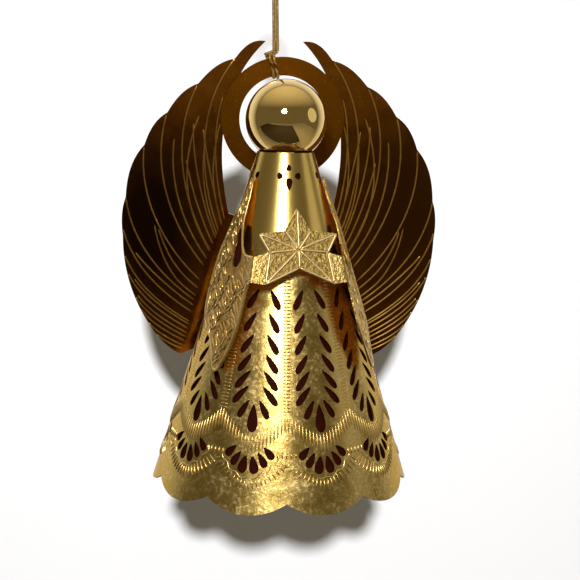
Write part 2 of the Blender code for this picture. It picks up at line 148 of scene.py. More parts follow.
def ribs(base, normal, half_width, height, taper=0.2):
    """Raised lines along every line of base (lines, steps, 3): half an ellipse across the run. It grows with
    the square root of the distance from the nearer end, up to the taper's share, and is even between."""
    run = np.gradient(base, axis=1)
    side = np.cross(run, normal)
    side /= np.linalg.norm(side, axis=2, keepdims=True) + 1e-12
    t = np.linspace(0.0, 1.0, base.shape[1])
    swell = np.sqrt(np.clip(np.minimum(t, 1.0 - t) / taper, 0.04, 1.0))[None, :, None, None]
    turn = np.linspace(0.0, math.pi, RIB_POINTS)[None, None, :, None]
    shape = half_width * np.cos(turn) * side[:, :, None] + height * np.sin(turn) * normal[:, :, None]
    points = base[:, :, None] + swell * shape - RIB_SINK * normal[:, :, None]
    one = grid_faces(base.shape[1], RIB_POINTS)
    step = base.shape[1] * RIB_POINTS
    return points, (one[None] + step * np.arange(len(base))[:, None, None]).reshape(-1, 4)


def cone(angle, height, out=0.0):
    """Point of the robe's outer face at an angle from the front and a height, where the radius falls evenly
    from hem to neck, moved out along the normal."""
    angle = np.radians(angle)
    cosine = 1.0 / math.hypot(1.0, ROBE_SLOPE)
    radius = HEM_RADIUS - ROBE_SLOPE * height + out * cosine
    rise = height + out * cosine * ROBE_SLOPE
    return np.stack([radius * np.sin(angle), -radius * np.cos(angle), rise + 0.0 * angle], axis=-1)


def cone_normal(angle):
    """Outward normal of the robe at an angle: out from the axis and up by the slope, at unit length."""
    angle = np.radians(angle)
    cosine = 1.0 / math.hypot(1.0, ROBE_SLOPE)
    return np.stack([np.sin(angle), -np.cos(angle), ROBE_SLOPE + 0.0 * angle], axis=-1) * cosine


def egg(side, rise, centre, length, width, lean, taper=0.62):
    """Egg-shaped hole, zero on its outline and negative inside: an ellipse along the lean angle, whose width
    shrinks evenly towards the end that the lean points to."""
    slant = math.radians(lean)
    along = ((side - centre[0]) * math.sin(slant) + (rise - centre[1]) * math.cos(slant)) * 2.0 / length
    across = ((side - centre[0]) * math.cos(slant) - (rise - centre[1]) * math.sin(slant)) * 2.0 / width
    return (np.hypot(along, across / np.clip(1.0 - taper * along, 0.15, 2.0)) - 1.0) * width / 2.0


def pattern(angle, height):
    """Piercing of the robe, the least value of all its holes: in each sector a frond, a key drop and a fan,
    and below the neck a flower for every two sectors."""
    radius = HEM_RADIUS - ROBE_SLOPE * height
    side = np.radians(angle % SECTOR - SECTOR / 2.0) * radius
    value = egg(side, height, (0.0, KEY_DROP[0]), KEY_DROP[1], KEY_DROP[2], 0.0)
    pairs = [SIDE_DROP]
    for row in range(FROND_ROWS):
        spread, length, lean = (first + row * change
                                for first, change in (FROND_SPREAD, FROND_LENGTH, FROND_LEAN))
        pairs.append((spread, FROND_RISE[0] + FROND_RISE[1] * row + FROND_RISE[2] * row ** 2, length, lean))
    for turn in (-1.0, 1.0):
        for spread, rise, length, lean in pairs:
            centre = (turn * spread, rise)
            value = np.minimum(value, egg(side, height, centre, length, DROP_WIDTH, -turn * lean))
        for reach, rise, length, width, lean in PETALS:
            centre = (turn * reach, FAN_FOOT + rise)
            value = np.minimum(value, egg(side, height, centre, length, width, -turn * lean))
    side = np.radians((angle - FLOWER_TURN + SECTOR) % (2.0 * SECTOR) - SECTOR) * radius
    for across, up, stretch in FLOWER_PETALS:
        lean = -across * 90.0 if across else 90.0 * (1.0 - up)
        centre = (across * FLOWER_REACH, FLOWER_HEIGHT + up * FLOWER_REACH)
        value = np.minimum(value, egg(side, height, centre, FLOWER_LENGTH * stretch, FLOWER_WIDTH, lean))
    return value


def pierce(first, second, value):
    """Cut holes in a grid: points next to an outline slide along grid lines onto it, cells inside it go."""
    best = np.full(value.shape, 0.5)
    moved = [first.copy(), second.copy()]
    for axis, way in ((0, 1), (0, -1), (1, 1), (1, -1)):
        near = np.roll(value, way, axis)
        edge = np.zeros(value.shape, bool)
        edge[tuple(slice(None) if k != axis else (0 if way > 0 else -1) for k in range(2))] = True
        share = np.where((value * near < 0.0) & ~edge, value / (value - near + 1e-30), 1.0)
        closer = share < best
        best = np.where(closer, share, best)
        for k, source in enumerate((first, second)):
            target = source + share * (np.roll(source, way, axis) - source)
            moved[k] = np.where(closer, target, moved[k])
    state = np.where(best < 0.5, 0, np.sign(value)).astype(int).ravel()
    cells = grid_faces(*value.shape)
    corner = state[cells]
    inside, outside = (corner < 0).any(axis=1), (corner > 0).any(axis=1)
    keep = ~inside & (outside | (value.ravel()[cells].mean(axis=1) > 0.0))
    halves = [np.roll(cells, -k, axis=1)[:, 1:] for k in range(4)]
    cut = [half[(corner[:, k] < 0) & (corner[:, (k + 2) % 4] > 0)] for k, half in enumerate(halves)]
    return moved[0], moved[1], [cells[keep], np.concatenate(cut)]


def sector_columns(fine, reach, coarse):
    """Angles round the robe, close together near every sector's middle and wider apart beside it."""
    edge = SECTOR / 2.0
    one = np.concatenate([np.linspace(-edge, -reach, coarse)[:-1], np.linspace(-reach, reach, fine)[:-1],
                          np.linspace(reach, edge, coarse)[:-1]])
    middles = (np.arange(SECTORS) + 0.5) * SECTOR - 180.0
    lapped = np.linspace(180.0, 180.0 + LAP_ANGLE, LAP_POINTS)
    return np.concatenate([(middles[:, None] + one).ravel(), lapped])


columns = sector_columns(*SECTOR_GRID)
bands = [np.linspace(low, high, count)[:-1] for low, high, count in ROW_BANDS]
rows = np.concatenate([[0.0, HEM_STEP], *bands, np.linspace(NECK_BAND[0], ROBE_HEIGHT, NECK_BAND[1])])
angle, height = np.meshgrid(columns, rows)
wave = 2.0 * np.mod(angle / SECTOR, 1.0) - 1.0
height = height - SCALLOP_DEPTH * (1.0 - wave ** 2) * np.clip(1.0 - height / SCALLOP_TOP, 0.0, 1.0)
angle, height, faces = pierce(angle, height, pattern(angle, height))
lap = LAP_STEP * np.clip((angle - 180.0 + LAP_RAMP) / LAP_RAMP, 0.0, 1.0)
robe = piece("robe_sheet", hang(cone(angle, height, lap)), faces,
             np.stack([angle / 360.0 + 0.5, height / ROBE_HEIGHT], axis=-1))
thicken(robe, ROBE_SHEET)
# A plain dark red sheet of painted shade lies close behind the piercing, so every hole shows the same flat
# red
SHADE_SHEET_THICKNESS = 0.0001
SHADE_SHEET_GAP = 0.0003
SHADE_SHEET_ENDS = (0.0012, ROBE_HEIGHT - 0.0006)
SHADE_SHEET_GRID = (24, 144)
angle, height = np.meshgrid(np.arange(SHADE_SHEET_GRID[1]) * 360.0 / SHADE_SHEET_GRID[1] - 180.0,
                            np.linspace(*SHADE_SHEET_ENDS, SHADE_SHEET_GRID[0]))
points = hang(cone(angle, height, -ROBE_SHEET - SHADE_SHEET_GAP))
shade_sheet = piece("robe_shade_sheet", points, [grid_faces(*SHADE_SHEET_GRID, True)])
thicken(shade_sheet, SHADE_SHEET_THICKNESS)

# Raised marks of the etch: ladders up the cusp lines, two swags of strokes and short strokes under the cusps
LADDER = (0.0143, 0.0362, 0.00055)
LADDER_HALF = 0.00071
SWAG_STROKES = 200
CREST_LOW, CREST_RISE, CREST_POWER, CREST_HALF = 0.0091, 0.00367, 1.5, 0.00155
UNDER_LOW, UNDER_RISE, UNDER_POWER, UNDER_HALF = 0.0027, 0.0036, 1.6, 0.00088
SHORT_ANGLES = (-4.4, -2.2, 0.0, 2.2, 4.4)
SHORT_HEIGHT, SHORT_HALF = 0.00745, 0.00058
MARK_HALF, MARK_HEIGHT, RIPPLE_HEIGHT = 0.00013, 0.00024, 0.00014
cusps = np.arange(SECTORS) * SECTOR - 180.0
span = np.linspace(-1.0, 1.0, 5)
at, up = np.meshgrid(cusps, np.arange(*LADDER))
turn = at.ravel()[:, None] + np.degrees(LADDER_HALF / (HEM_RADIUS - ROBE_SLOPE * up.ravel()))[:, None] * span
marks = [(turn, np.broadcast_to(up.ravel()[:, None], turn.shape))]
along = (np.arange(SWAG_STROKES) + 0.5) * 360.0 / SWAG_STROKES - 180.0
off = along % SECTOR - SECTOR / 2.0
share = np.abs(off) / (SECTOR / 2.0)
crest = CREST_LOW + CREST_RISE * share ** CREST_POWER
marks.append((along[:, None] + 0.0 * span, crest[:, None] + CREST_HALF * span))
under = UNDER_LOW + UNDER_RISE * share ** UNDER_POWER
arc = np.radians(off) * (HEM_RADIUS - ROBE_SLOPE * under)
way = np.arctan2(-arc, FAN_HEIGHT - under)
lean = np.degrees(UNDER_HALF * np.sin(way) / (HEM_RADIUS - ROBE_SLOPE * under))
marks.append((along[:, None] + lean[:, None] * span,
              under[:, None] + UNDER_HALF * np.cos(way)[:, None] * span))
short = (cusps[:, None] + np.array(SHORT_ANGLES)).ravel()
marks.append((short[:, None] + 0.0 * span, SHORT_HEIGHT + SHORT_HALF * span + 0.0 * short[:, None]))
turn, rise = (np.concatenate([m[k] for m in marks]) for k in range(2))
points, faces = ribs(cone(turn, rise), cone_normal(turn), MARK_HALF, MARK_HEIGHT)
chasing = piece("robe_chasing", hang(points.reshape(-1, 3)), [faces])
# A rippled line runs round the outer ends of every fan
RIPPLE_REACH, RIPPLE_FALL, RIPPLE_SWING = 0.00645, 0.000014, 0.00020
RIPPLE_WAVES, RIPPLE_PHASE = 17.0, 156.0
RIPPLE_SPAN, RIPPLE_POINTS = 64.0, 97
fan = np.linspace(-RIPPLE_SPAN, RIPPLE_SPAN, RIPPLE_POINTS)
wave = RIPPLE_SWING * np.cos(np.radians(fan * RIPPLE_WAVES + RIPPLE_PHASE))
ripple = RIPPLE_REACH - RIPPLE_FALL * np.abs(fan) + wave
rise = FAN_HEIGHT - ripple * np.cos(np.radians(fan))
turn = np.degrees(ripple * np.sin(np.radians(fan)) / (HEM_RADIUS - ROBE_SLOPE * rise))
turn = turn + (cusps + SECTOR / 2.0)[:, None]
rise = np.broadcast_to(rise, turn.shape)
points, faces = ribs(cone(turn, rise), cone_normal(turn), MARK_HALF, RIPPLE_HEIGHT, taper=0.05)
ripples = piece("robe_ripples", hang(points.reshape(-1, 3)), [faces])


def new_group(name, outputs):
    """An empty shader group with value outputs, its tree, its output node and its texture coordinates."""
    tree = bpy.data.node_groups.new(name, "ShaderNodeTree")
    for label in outputs:
        tree.interface.new_socket(label, in_out="OUTPUT", socket_type="NodeSocketFloat")
    return tree, tree.nodes.new("NodeGroupOutput"), tree.nodes.new("ShaderNodeTexCoord")


def noise(tree, source, scale, detail, rough=0.55, distortion=0.0):
    """Noise texture on a coordinate; returns its value output."""
    made = tree.nodes.new("ShaderNodeTexNoise")
    made.inputs["Scale"].default_value = scale
    made.inputs["Detail"].default_value = detail
    made.inputs["Roughness"].default_value = rough
    made.inputs["Distortion"].default_value = distortion
    tree.links.new(source, made.inputs["Vector"])
    return made.outputs["Fac"]


def ramp(tree, source, low, high, start=0.0, end=1.0):
    """Map a value from low..high to start..end, held at both ends."""
    made = tree.nodes.new("ShaderNodeMapRange")
    for label, number in (("From Min", low), ("From Max", high), ("To Min", start), ("To Max", end)):
        made.inputs[label].default_value = number
    tree.links.new(source, made.inputs["Value"])
    return made.outputs["Result"]


def maths(tree, kind, first, second):
    """Join two values, the second a socket or a number."""
    made = tree.nodes.new("ShaderNodeMath")
    made.operation = kind
    tree.links.new(first, made.inputs[0])
    if isinstance(second, float):
        made.inputs[1].default_value = second
    else:
        tree.links.new(second, made.inputs[1])
    return made.outputs[0]


def blend(tree, share, first, second):
    """Mix two colours, each a socket or three numbers, by a share."""
    made = tree.nodes.new("ShaderNodeMix")
    made.data_type = "RGBA"
    tree.links.new(share, made.inputs["Factor"])
    for colour, place in ((first, 6), (second, 7)):
        if isinstance(colour, tuple):
            made.inputs[place].default_value = (*colour, 1.0)
        else:
            tree.links.new(colour, made.inputs[place])
    return made.outputs[2]


# Frosting shared by the etched sheets: a cloudy bloom, a fine grain, small bright flecks and a stipple
frost, frost_out, frost_at = new_group("etched_frost", ("Bloom", "Grain", "Fleck", "Stipple"))
frost.links.new(ramp(frost, noise(frost, frost_at.outputs["Object"], 300.0, 9.0, 0.72, 0.5), 0.38, 0.66),
                frost_out.inputs["Bloom"])
frost.links.new(noise(frost, frost_at.outputs["Object"], 5200.0, 3.0, 0.6), frost_out.inputs["Grain"])
frost.links.new(ramp(frost, noise(frost, frost_at.outputs["Object"], 2300.0, 2.0, 0.5), 0.62, 0.74),
                frost_out.inputs["Fleck"])
frost.links.new(noise(frost, frost_at.outputs["Object"], 1700.0, 3.0, 0.6), frost_out.inputs["Stipple"])


def metal(name, roughness=0.3):
    """A metal with the frosting group beside it: the material, its tree, its shader and the group node."""
    made = bpy.data.materials.new(name)
    made.use_nodes = True
    tree = made.node_tree
    shader = tree.nodes["Principled BSDF"]
    shader.inputs["Metallic"].default_value = 1.0
    shader.inputs["Roughness"].default_value = roughness
    group = tree.nodes.new("ShaderNodeGroup")
    group.node_tree = frost
    return made, tree, shader, group


def emboss(tree, shader, source, distance):
    """Raise or sink the surface a little by a value."""
    bump = tree.nodes.new("ShaderNodeBump")
    bump.inputs["Distance"].default_value = distance
    bump.inputs["Strength"].default_value = 1.0
    tree.links.new(source, bump.inputs["Height"])
    tree.links.new(bump.outputs["Normal"], shader.inputs["Normal"])


def tint(tree, shader, share, first, second):
    """Colour a surface between two colours by a share."""
    tree.links.new(blend(tree, share, first, second), shader.inputs["Base Color"])


def pattern_map(tree):
    """Coordinates of the sheet's flat pattern."""
    made = tree.nodes.new("ShaderNodeUVMap")
    made.uv_map = "pattern"
    return made.outputs["UV"]


def axes(tree, source):
    """Outputs X, Y and Z of a coordinate."""
    made = tree.nodes.new("ShaderNodeSeparateXYZ")
    tree.links.new(source, made.inputs["Vector"])
    return made.outputs


robe_look, tree, shader, group = metal("robe_brass")
satin = ramp(tree, axes(tree, pattern_map(tree))["Y"], 0.76, 0.64)
frosted = maths(tree, "MULTIPLY", satin, group.outputs["Bloom"])
ground = blend(tree, satin, (0.70, 0.49, 0.14), (0.50, 0.34, 0.085))
# Small pale flecks in the frosted part are painted glints of its sparkle
painted_glint = maths(tree, "MULTIPLY", frosted, ramp(tree, group.outputs["Stipple"], 0.50, 0.62))
clouded = blend(tree, frosted, ground, (0.56, 0.40, 0.13))
tint(tree, shader, painted_glint, clouded, (0.86, 0.68, 0.32))
rough = maths(tree, "ADD", ramp(tree, satin, 0.0, 1.0, 0.24, 0.23), ramp(tree, frosted, 0.0, 1.0, 0.0, 0.13))
rough = maths(tree, "ADD", rough, ramp(tree, painted_glint, 0.0, 1.0, 0.0, 0.14))
tree.links.new(rough, shader.inputs["Roughness"])
pitted = maths(tree, "ADD", ramp(tree, satin, 0.0, 1.0, 0.09, 0.05), ramp(tree, frosted, 0.0, 1.0, 0.0, 0.26))
emboss(tree, shader, maths(tree, "MULTIPLY", group.outputs["Stipple"], pitted), 0.00012)
shader.inputs["Specular Tint"].default_value = (0.72, 0.52, 0.26, 1.0)
shader.inputs["Coat Weight"].default_value = 0.25
shader.inputs["Coat Roughness"].default_value = 0.22
# The inside face of the robe is painted dark red-brown: painted shade for the hollow of the cone
inside_shade_look, tree, shader, group = metal("robe_inside_painted_shade", 0.6)
shader.inputs["Metallic"].default_value = 0.3
tint(tree, shader, group.outputs["Bloom"], (0.11, 0.016, 0.010), (0.15, 0.024, 0.014))
mark_look, tree, shader, group = metal("mark_brass", 0.30)
tint(tree, shader, group.outputs["Bloom"], (0.76, 0.54, 0.16), (0.86, 0.66, 0.28))
# Very dark red: painted shade for the sheets behind the piercing and the armholes
painted_shade_look, tree, shader, group = metal("painted_shade_red", 0.6)
tint(tree, shader, group.outputs["Bloom"], (0.030, 0.0038, 0.0012), (0.042, 0.0056, 0.0018))
shader.inputs["Metallic"].default_value = 0.0
shader.inputs["Specular IOR Level"].default_value = 0.03
shade_sheet.data.materials.append(painted_shade_look)
# The cut edges of the sheet are painted dark brown: painted shade that keeps them from catching light
edge_shade_look, tree, shader, group = metal("robe_edge_painted_shade", 0.6)
tint(tree, shader, group.outputs["Bloom"], (0.085, 0.026, 0.008), (0.13, 0.045, 0.013))
for look in (robe_look, inside_shade_look, edge_shade_look):
    robe.data.materials.append(look)
robe.modifiers["sheet"].material_offset = 1
robe.modifiers["sheet"].material_offset_rim = 2
for obj in (chasing, ripples):
    obj.data.materials.append(mark_look)
for obj in (robe, shade_sheet, chasing, ripples):
    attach(obj, "angel")
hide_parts("robe")

# HEAD
# A bright brass bead without a face, soldered on the neck of the robe.
# It is a surface of revolution, open at the drilled hole that sits on the neck.
HEAD_RADIUS = 0.0070
HEAD_HOLE_RADIUS = 0.0016
HEAD_GAP = 0.0003
HEAD_GRID = (72, 128)
HEAD_HEIGHT = ROBE_HEIGHT + math.sqrt((HEAD_RADIUS + HEAD_GAP) ** 2 - NECK_RADIUS ** 2)
down = np.linspace(math.pi - math.asin(HEAD_HOLE_RADIUS / HEAD_RADIUS), 0.0, HEAD_GRID[0])
about, down = np.meshgrid(np.arange(HEAD_GRID[1]) * 2.0 * math.pi / HEAD_GRID[1], down)
ball = np.stack([np.sin(down) * np.cos(about), np.sin(down) * np.sin(about), np.cos(down)], axis=-1)
ball = HEAD_RADIUS * ball + (0.0, 0.0, HEAD_HEIGHT)
head = piece("head_bead", hang(ball), [grid_faces(*HEAD_GRID, True)])
head_look, tree, shader, group = metal("head_brass", 0.05)
tint(tree, shader, group.outputs["Bloom"], (0.82, 0.58, 0.20), (0.84, 0.62, 0.25))
tree.links.new(ramp(tree, group.outputs["Bloom"], 0.0, 1.0, 0.035, 0.075), shader.inputs["Roughness"])
head.data.materials.append(head_look)
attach(head, "angel")
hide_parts("head_ball")

# ARMS AND STAR
# One etched sheet bent round the front: sleeves, hands and the five-pointed star that they hold.
# The sleeves are chased like crumpled drapery; the star is stippled, with raised rays, and stands in front.
ARM_TURN = 8.0
STAR_HEIGHT = 0.0404
STAR_STANDOFF = 0.0026
STAR_BEARINGS = (0.0, 35.0, 68.0, 95.5, 134.5, 180.0)
STAR_REACHES = (0.0069, 0.0038, 0.0071, 0.0050, 0.0083, 0.0031)
STAR_LIFT = 0.00040
STAR_SHEET = 0.00032
WRIST_ANGLE = 31.0
SLEEVE_EASE = 14.0
SLEEVE_CLEAR = 0.00075
STRAP_FOOT, STRAP_RISE, STRAP_EASE = 0.044, 0.005, 0.0004
ARM_SHEET = 0.0003
ARM_REACH = 106.0
ARM_HEIGHTS = (0.0194, 0.0524)
ARM_GRID = (187, 134)
ARM_MAP_HEIGHT = 0.06
SLEEVE_MIDDLE = (66.0, 0.0360)
# Outline of a sleeve from the top of the hand round to its bottom: angle, height in millimetres
SLEEVE = ((31.0, 39.2), (45.0, 39.7), (55.5, 44.2), (60.5, 50.0), (67.0, 51.6), (76.0, 47.0), (90.0, 41.6),
          (103.0, 37.0), (84.0, 28.8), (61.0, 24.4), (49.5, 20.0), (38.0, 26.2), (34.0, 33.8), (31.0, 35.2))
# An armhole: angle, height, length, width, lean
ARMHOLE = (55.0, 0.0401, 0.0066, 0.0025, 13.0)


def smooth_run(points, steps):
    """Points of a smooth curve through every given point: a cubic between each two, whose slope at a point is
    half the step from the point before it to the point after it."""
    points = np.asarray(points, dtype=float)
    ends = np.vstack([2.0 * points[0] - points[1], points, 2.0 * points[-1] - points[-2]])
    a, b, c, d = (ends[k:len(ends) - 3 + k, None] for k in range(4))
    t = (np.arange(steps) / steps)[None, :, None]
    bend = (2.0 * a - 5.0 * b + 4.0 * c - d) * t ** 2 + (3.0 * b - a - 3.0 * c + d) * t ** 3
    run = b + 0.5 * ((c - a) * t + bend)
    return np.vstack([run.reshape(-1, points.shape[1]), points[-1:]])


def outline_distance(first, second, ring):
    """Distance to a closed outline of straight runs, the least to any run: positive inside, where a line to
    one side crosses the outline an odd number of times."""
    spot = np.stack([first, second], axis=-1)[..., None, :]
    start, stop = ring, np.roll(ring, -1, axis=0)
    run = stop - start
    share = np.clip(((spot - start) * run).sum(-1) / (run ** 2).sum(-1), 0.0, 1.0)
    gap = np.linalg.norm(spot - start - share[..., None] * run, axis=-1).min(-1)
    rise = run[:, 1] + 1e-15
    crossed = (start[:, 1] > spot[..., 1]) != (stop[:, 1] > spot[..., 1])
    crossed &= spot[..., 0] < start[:, 0] + (spot[..., 1] - start[:, 1]) * run[:, 0] / rise
    return np.where(crossed.sum(-1) % 2 == 1, gap, -gap)


def arm_place(turned, rise, out=0.0):
    """Point of the arm sheet. Between the wrists it is flat: radius and standoff over the angle's cosine.
    Past them its gap to the robe falls off exponentially, and the strap lies a little closer."""
    radius = HEM_RADIUS - ROBE_SLOPE * rise
    wrist = np.minimum(np.abs(turned), WRIST_ANGLE)
    front = (radius + STAR_STANDOFF) / np.cos(np.radians(wrist)) - radius
    past = np.maximum(np.abs(turned) - WRIST_ANGLE, 0.0)
    strap = STRAP_EASE * np.clip((rise - STRAP_FOOT) / STRAP_RISE, 0.0, 1.0)
    reach = radius + SLEEVE_CLEAR + (front - SLEEVE_CLEAR) * np.exp(-past / SLEEVE_EASE) + out - strap
    way = np.radians(turned + ARM_TURN)
    return np.stack([reach * np.sin(way), -reach * np.cos(way), rise], axis=-1)


bearing, reach = np.radians(STAR_BEARINGS), np.array(STAR_REACHES)
flat = 1.0 / math.hypot(1.0, ROBE_SLOPE)
corner = np.stack([reach * np.sin(bearing), STAR_HEIGHT + reach * np.cos(bearing) * flat], axis=-1)
deep = HEM_RADIUS - ROBE_SLOPE * corner[:, 1] + STAR_STANDOFF
star_edge = np.stack([np.degrees(np.arctan2(corner[:, 0], deep)), corner[:, 1]], axis=-1)
sleeve_edge = smooth_run(np.array(SLEEVE) * (1.0, 0.001), 8)
half = np.vstack([star_edge[:4], sleeve_edge, star_edge[4:]])
arc_scale = math.radians(1.0) * (HEM_RADIUS - ROBE_SLOPE * STAR_HEIGHT + STAR_STANDOFF)
whole = np.vstack([half, half[-2:0:-1] * (-1.0, 1.0)]) * (arc_scale, 1.0)


def arm_cut(turned, rise):
    """Piercing of the arm sheet: positive inside its outline and outside both armholes."""
    value = outline_distance(turned * arc_scale, rise, whole)
    hole = egg(np.abs(turned) * arc_scale, rise, (ARMHOLE[0] * arc_scale, ARMHOLE[1]), *ARMHOLE[2:])
    return np.minimum(value, hole)


turned, rise = np.meshgrid(np.linspace(-ARM_REACH, ARM_REACH, ARM_GRID[0]),
                           np.linspace(*ARM_HEIGHTS, ARM_GRID[1]))
turned, rise, faces = pierce(turned, rise, arm_cut(turned, rise))
# The sheet is crumpled by a tenth of a millimetre, from the cuffs on
CRUMPLE = 0.00010
CUFF_ANGLE, CUFF_EASE = 36.0, 8.0
fold = np.sin(turned * 0.55 + rise * 1500.0) * np.sin(rise * 700.0 - turned * 0.21)
chased = np.clip((np.abs(turned) - CUFF_ANGLE) / CUFF_EASE, 0.0, 1.0)
arms = piece("arm_sheet", hang(arm_place(turned, rise, CRUMPLE * fold * chased)), faces,
             np.stack([turned / (2.0 * ARM_REACH) + 0.5, rise / ARM_MAP_HEIGHT], axis=-1))
thicken(arms, ARM_SHEET)
# The same dark red sheet of painted shade lies behind both armholes
PATCH_POINTS = 9
PATCH_LEAN, PATCH_WIDTH, PATCH_TAPER, PATCH_HALF = 3.6, 6.5, 0.45, 0.0038
PATCH_GAP = 0.0001
PATCH_DEPTH = ARM_SHEET + PATCH_GAP
across, along = np.meshgrid(np.linspace(-1.0, 1.0, PATCH_POINTS), np.linspace(-1.0, 1.0, PATCH_POINTS))
turned = ARMHOLE[0] + PATCH_LEAN * along + PATCH_WIDTH * across * (1.0 - PATCH_TAPER * along)
rise = ARMHOLE[1] + PATCH_HALF * along
points = np.stack([arm_place(turned, rise, -PATCH_DEPTH), arm_place(-turned[:, ::-1], rise, -PATCH_DEPTH)])
faces = grid_faces(PATCH_POINTS, PATCH_POINTS)
armhole_shade = piece("armhole_painted_shade", hang(points.reshape(-1, 3)), [faces, faces + PATCH_POINTS ** 2])
thicken(armhole_shade, SHADE_SHEET_THICKNESS)
# Raised drapery strokes on the sleeves, leaning to and fro, and a plain rim round their edge.
# Sines of unlike wavelengths make the strokes irregular in place, lean and length.
STROKE_ANGLES = (36.5, 102.0, 4.3)
STROKE_RISES = (0.0208, 0.0510, 0.00088)
STROKE_HALF, STROKE_HEIGHT, STROKE_LIFT = 0.00017, 0.00016, 0.00006
STROKE_MARGIN = 0.0006
STROKE_DRIFT = (1.1, 0.00022)
STROKE_LEANS, STROKE_SWAY = (38.0, -32.0), 14.0
STROKE_REACH = (0.00062, 0.00018)
RIM_HALF, RIM_HEIGHT, RIM_INSET = 0.00019, 0.00010, 0.02
RIM_POINTS = 97
at, up = np.meshgrid(np.arange(*STROKE_ANGLES), np.arange(*STROKE_RISES))
row = np.round((up - STROKE_RISES[0]) / STROKE_RISES[2])
at = (at + 0.5 * STROKE_ANGLES[2] * (row % 2) + STROKE_DRIFT[0] * np.sin(row * 2.3 + at * 0.7)).ravel()
up = up.ravel() + STROKE_DRIFT[1] * np.sin(at * 1.9 + row.ravel() * 1.3)
keep = arm_cut(at, up) > STROKE_MARGIN
at, up = at[keep], up[keep]
lean = np.where(np.sin(at * 0.31 + up * 900.0) > 0.0, *STROKE_LEANS)
way = np.radians(lean + STROKE_SWAY * np.sin(at * 1.7))
reach = STROKE_REACH[0] + STROKE_REACH[1] * np.sin(at * 2.9 + up * 4000.0)
turn = at[:, None] + (reach * np.sin(way) / arc_scale)[:, None] * span
lift = up[:, None] + (reach * np.cos(way))[:, None] * span
turn, lift = np.concatenate([turn, -turn]), np.concatenate([lift, lift])
base, normal = arm_place(turn, lift, STROKE_LIFT), cone_normal(turn + ARM_TURN)
points, faces = ribs(base, normal, STROKE_HALF, STROKE_HEIGHT)
strokes = piece("sleeve_strokes", hang(points.reshape(-1, 3)), [faces])
rim = sleeve_edge[np.linspace(0, len(sleeve_edge) - 1, RIM_POINTS).round().astype(int)]
rim = rim + (np.array(SLEEVE_MIDDLE) - rim) * RIM_INSET
turn = np.stack([rim[:, 0], -rim[:, 0]])
lift = np.stack([rim[:, 1], rim[:, 1]])
points, faces = ribs(arm_place(turn, lift), cone_normal(turn + ARM_TURN), RIM_HALF, RIM_HEIGHT, taper=0.02)
rims = piece("sleeve_rims", hang(points.reshape(-1, 3)), [faces])
# The star: rings of its measured outline, on the flat of the sheet and a little in front
STAR_SPOKES = 120
STAR_RINGS, STAR_RIM = 13, 0.985
spoke = np.arange(STAR_SPOKES) * 360.0 / STAR_SPOKES
tips = np.concatenate([STAR_BEARINGS, 360.0 - np.array(STAR_BEARINGS[-2:0:-1]), [360.0]])
arms_out = np.concatenate([STAR_REACHES, STAR_REACHES[-2:0:-1], STAR_REACHES[:1]])
number = np.searchsorted(tips, spoke, side="right") - 1
low_tip, high_tip = np.radians(tips[number]), np.radians(tips[number + 1])
low_reach, high_reach = arms_out[number], arms_out[number + 1]
edge = low_reach * high_reach * np.sin(high_tip - low_tip)
bearing = np.radians(spoke)
edge = edge / (low_reach * np.sin(bearing - low_tip) + high_reach * np.sin(high_tip - bearing))
spoke = np.concatenate([spoke, tips[1:-1]])
edge = np.concatenate([edge, arms_out[1:-1]])
order = np.unique(spoke.round(3), return_index=True)[1]
spoke, edge = spoke[order], edge[order]
ring = np.append(np.linspace(0.0, STAR_RIM, STAR_RINGS), 1.0)[:, None]
side = ring * edge * np.sin(np.radians(spoke))
up = ring * edge * np.cos(np.radians(spoke))


def star_place(side, up):
    """Point across and up from the star's middle, on a flat in front of the arm sheet that leans as the robe
    does and is turned about the axis with the arms."""
    rise = STAR_HEIGHT + up * flat
    deep = HEM_RADIUS - ROBE_SLOPE * rise + STAR_STANDOFF + STAR_LIFT
    cosine, sine = math.cos(math.radians(ARM_TURN)), math.sin(math.radians(ARM_TURN))
    return np.stack([side * cosine + deep * sine, side * sine - deep * cosine, rise], axis=-1)


star = piece("star_sheet", hang(star_place(side, up)), [grid_faces(len(ring), len(spoke), True)])
thicken(star, STAR_SHEET)
# Raised rays from the middle of the star to all its corners, and beads along the edges of its lower points
RAY_POINTS = 21
RAY_HALF, RAY_HEIGHT = 0.00020, 0.00030
RAY_START, RAY_SHARE, BEAD_SHARE = 0.03, 0.97, 0.975
facing = cone_normal(np.array(ARM_TURN))
ray = np.radians(tips[:-1])
reach = RAY_SHARE * arms_out[:-1, None] * np.linspace(RAY_START, 1.0, RAY_POINTS)
base = star_place(reach * np.sin(ray)[:, None], reach * np.cos(ray)[:, None])
corners = arms_out[:-1, None] * np.stack([np.sin(ray), np.cos(ray)], axis=-1)
t = np.linspace(0.0, 1.0, RAY_POINTS)[None, :, None]
beads = (corners[2:8, None] * (1.0 - t) + corners[3:9, None] * t) * BEAD_SHARE
base = np.concatenate([base, star_place(beads[..., 0], beads[..., 1])])
points, faces = ribs(base, np.broadcast_to(facing, base.shape), RAY_HALF, RAY_HEIGHT, taper=0.04)
rays = piece("star_rays", hang(points.reshape(-1, 3)), [faces])
arm_look, tree, shader, group = metal("arm_brass")
beside = maths(tree, "SUBTRACT", axes(tree, pattern_map(tree))["X"], 0.5)
beside = maths(tree, "ABSOLUTE", beside, 0.0)
cuff = blend(tree, group.outputs["Stipple"], (0.44, 0.29, 0.07), (0.62, 0.45, 0.17))
sleeve = blend(tree, group.outputs["Bloom"], (0.36, 0.19, 0.030), (0.48, 0.29, 0.07))
tint(tree, shader, ramp(tree, beside, 0.155, 0.185), cuff, sleeve)
tree.links.new(ramp(tree, group.outputs["Fleck"], 0.0, 1.0, 0.38, 0.22), shader.inputs["Roughness"])
emboss(tree, shader, group.outputs["Stipple"], 0.00022)
